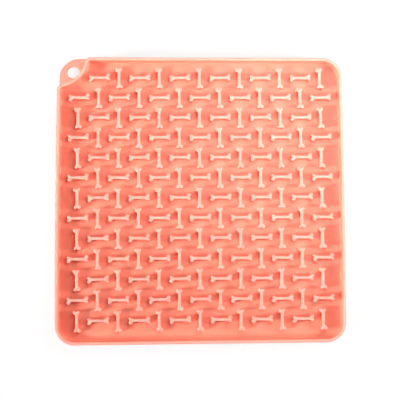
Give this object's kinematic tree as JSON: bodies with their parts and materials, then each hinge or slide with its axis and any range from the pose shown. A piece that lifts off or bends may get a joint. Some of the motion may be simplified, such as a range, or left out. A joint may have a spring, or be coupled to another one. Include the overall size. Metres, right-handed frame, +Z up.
{
  "type": "lick mat",
  "caption": "Square silicone lick mat: a shallow rimmed tray with a relief of small bones on its floor, a corner hanging tab with a hole, and suction cups underneath.",
  "frame": {"origin": "under the middle of the mat, on the surface that the suction cups stand on", "axes": "+Z up out of the tray, +Y to the back edge, +X to the right; the hanging tab is at the back left corner"},
  "size_m": [0.2, 0.2, 0.0125],
  "materials": {
    "coral_silicone": "satin moulded silicone, slightly translucent"
  },
  "bodies": {
    "mat": {"tray_floor": "coral_silicone", "rim_wall": "coral_silicone", "bone_row_01": "coral_silicone", "bone_row_02": "coral_silicone", "bone_row_03": "coral_silicone", "bone_row_04": "coral_silicone", "bone_row_05": "coral_silicone", "bone_row_06": "coral_silicone", "bone_row_07": "coral_silicone", "bone_row_08": "coral_silicone", "bone_row_09": "coral_silicone", "bone_row_10": "coral_silicone", "bone_row_11": "coral_silicone", "bone_row_12": "coral_silicone", "bone_row_13": "coral_silicone"},
    "tab": {"hang_tab": "coral_silicone"},
    "cups": {"suction_cup_01": "coral_silicone", "suction_cup_02": "coral_silicone", "suction_cup_03": "coral_silicone", "suction_cup_04": "coral_silicone", "suction_cup_05": "coral_silicone", "suction_cup_06": "coral_silicone", "suction_cup_07": "coral_silicone", "suction_cup_08": "coral_silicone", "suction_cup_09": "coral_silicone", "suction_cup_10": "coral_silicone", "suction_cup_11": "coral_silicone", "suction_cup_12": "coral_silicone", "suction_cup_13": "coral_silicone", "suction_cup_14": "coral_silicone", "suction_cup_15": "coral_silicone", "suction_cup_16": "coral_silicone", "suction_cup_17": "coral_silicone", "suction_cup_18": "coral_silicone", "suction_cup_19": "coral_silicone", "suction_cup_20": "coral_silicone", "suction_cup_21": "coral_silicone", "suction_cup_22": "coral_silicone", "suction_cup_23": "coral_silicone", "suction_cup_24": "coral_silicone", "suction_cup_25": "coral_silicone"}
  },
  "joints": [
    {"name": "tab_flex", "type": "hinge", "parent": "mat", "child": "tab", "pos_m": [-0.08685, 0.08685, 0.006], "axis": [0.7071, 0.7071, 0], "range_deg": [-8, 35], "stiffness_Nm_per_rad": 0.05},
    {"name": "cups_press", "type": "slide", "parent": "mat", "child": "cups", "axis": [0, 0, 1], "range_m": [0, 0.0014], "stiffness_N_per_m": 20000, "deforming": ["suction_cup_01", "suction_cup_02", "suction_cup_03", "suction_cup_04", "suction_cup_05", "suction_cup_06", "suction_cup_07", "suction_cup_08", "suction_cup_09", "suction_cup_10", "suction_cup_11", "suction_cup_12", "suction_cup_13", "suction_cup_14", "suction_cup_15", "suction_cup_16", "suction_cup_17", "suction_cup_18", "suction_cup_19", "suction_cup_20", "suction_cup_21", "suction_cup_22", "suction_cup_23", "suction_cup_24", "suction_cup_25"]}
  ]
}
